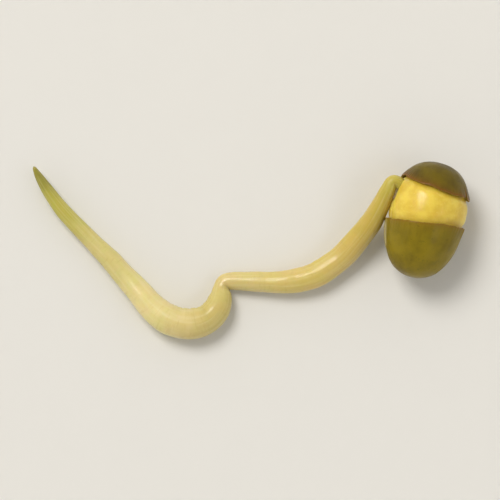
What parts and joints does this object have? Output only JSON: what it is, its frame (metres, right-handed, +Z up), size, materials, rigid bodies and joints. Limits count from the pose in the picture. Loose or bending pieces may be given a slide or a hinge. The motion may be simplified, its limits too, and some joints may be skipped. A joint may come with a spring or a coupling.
{
  "type": "mung bean sprout",
  "caption": "A sprouted mung bean lying down: yellow seed leaves in a torn olive seed coat, with a long white root that bends, folds and tapers to a fine tip.",
  "frame": {"origin": "middle of the sprout's box, on the surface that it lies on", "axes": "+X runs from the root's tip towards the seed, +Y nearly along the seed towards its capped end, +Z up from the surface"},
  "size_m": [0.0246, 0.01, 0.0043],
  "materials": {
    "coat_cap": "satin",
    "coat_cup": "satin",
    "seed_leaf": "satin",
    "root": "satin"
  },
  "bodies": {
    "root": {"seed_coat_cap": "coat_cap", "seed_coat_cup": "coat_cup", "cotyledon_upper": "seed_leaf", "cotyledon_lower": "seed_leaf", "white_root": "root"}
  },
  "joints": []
}
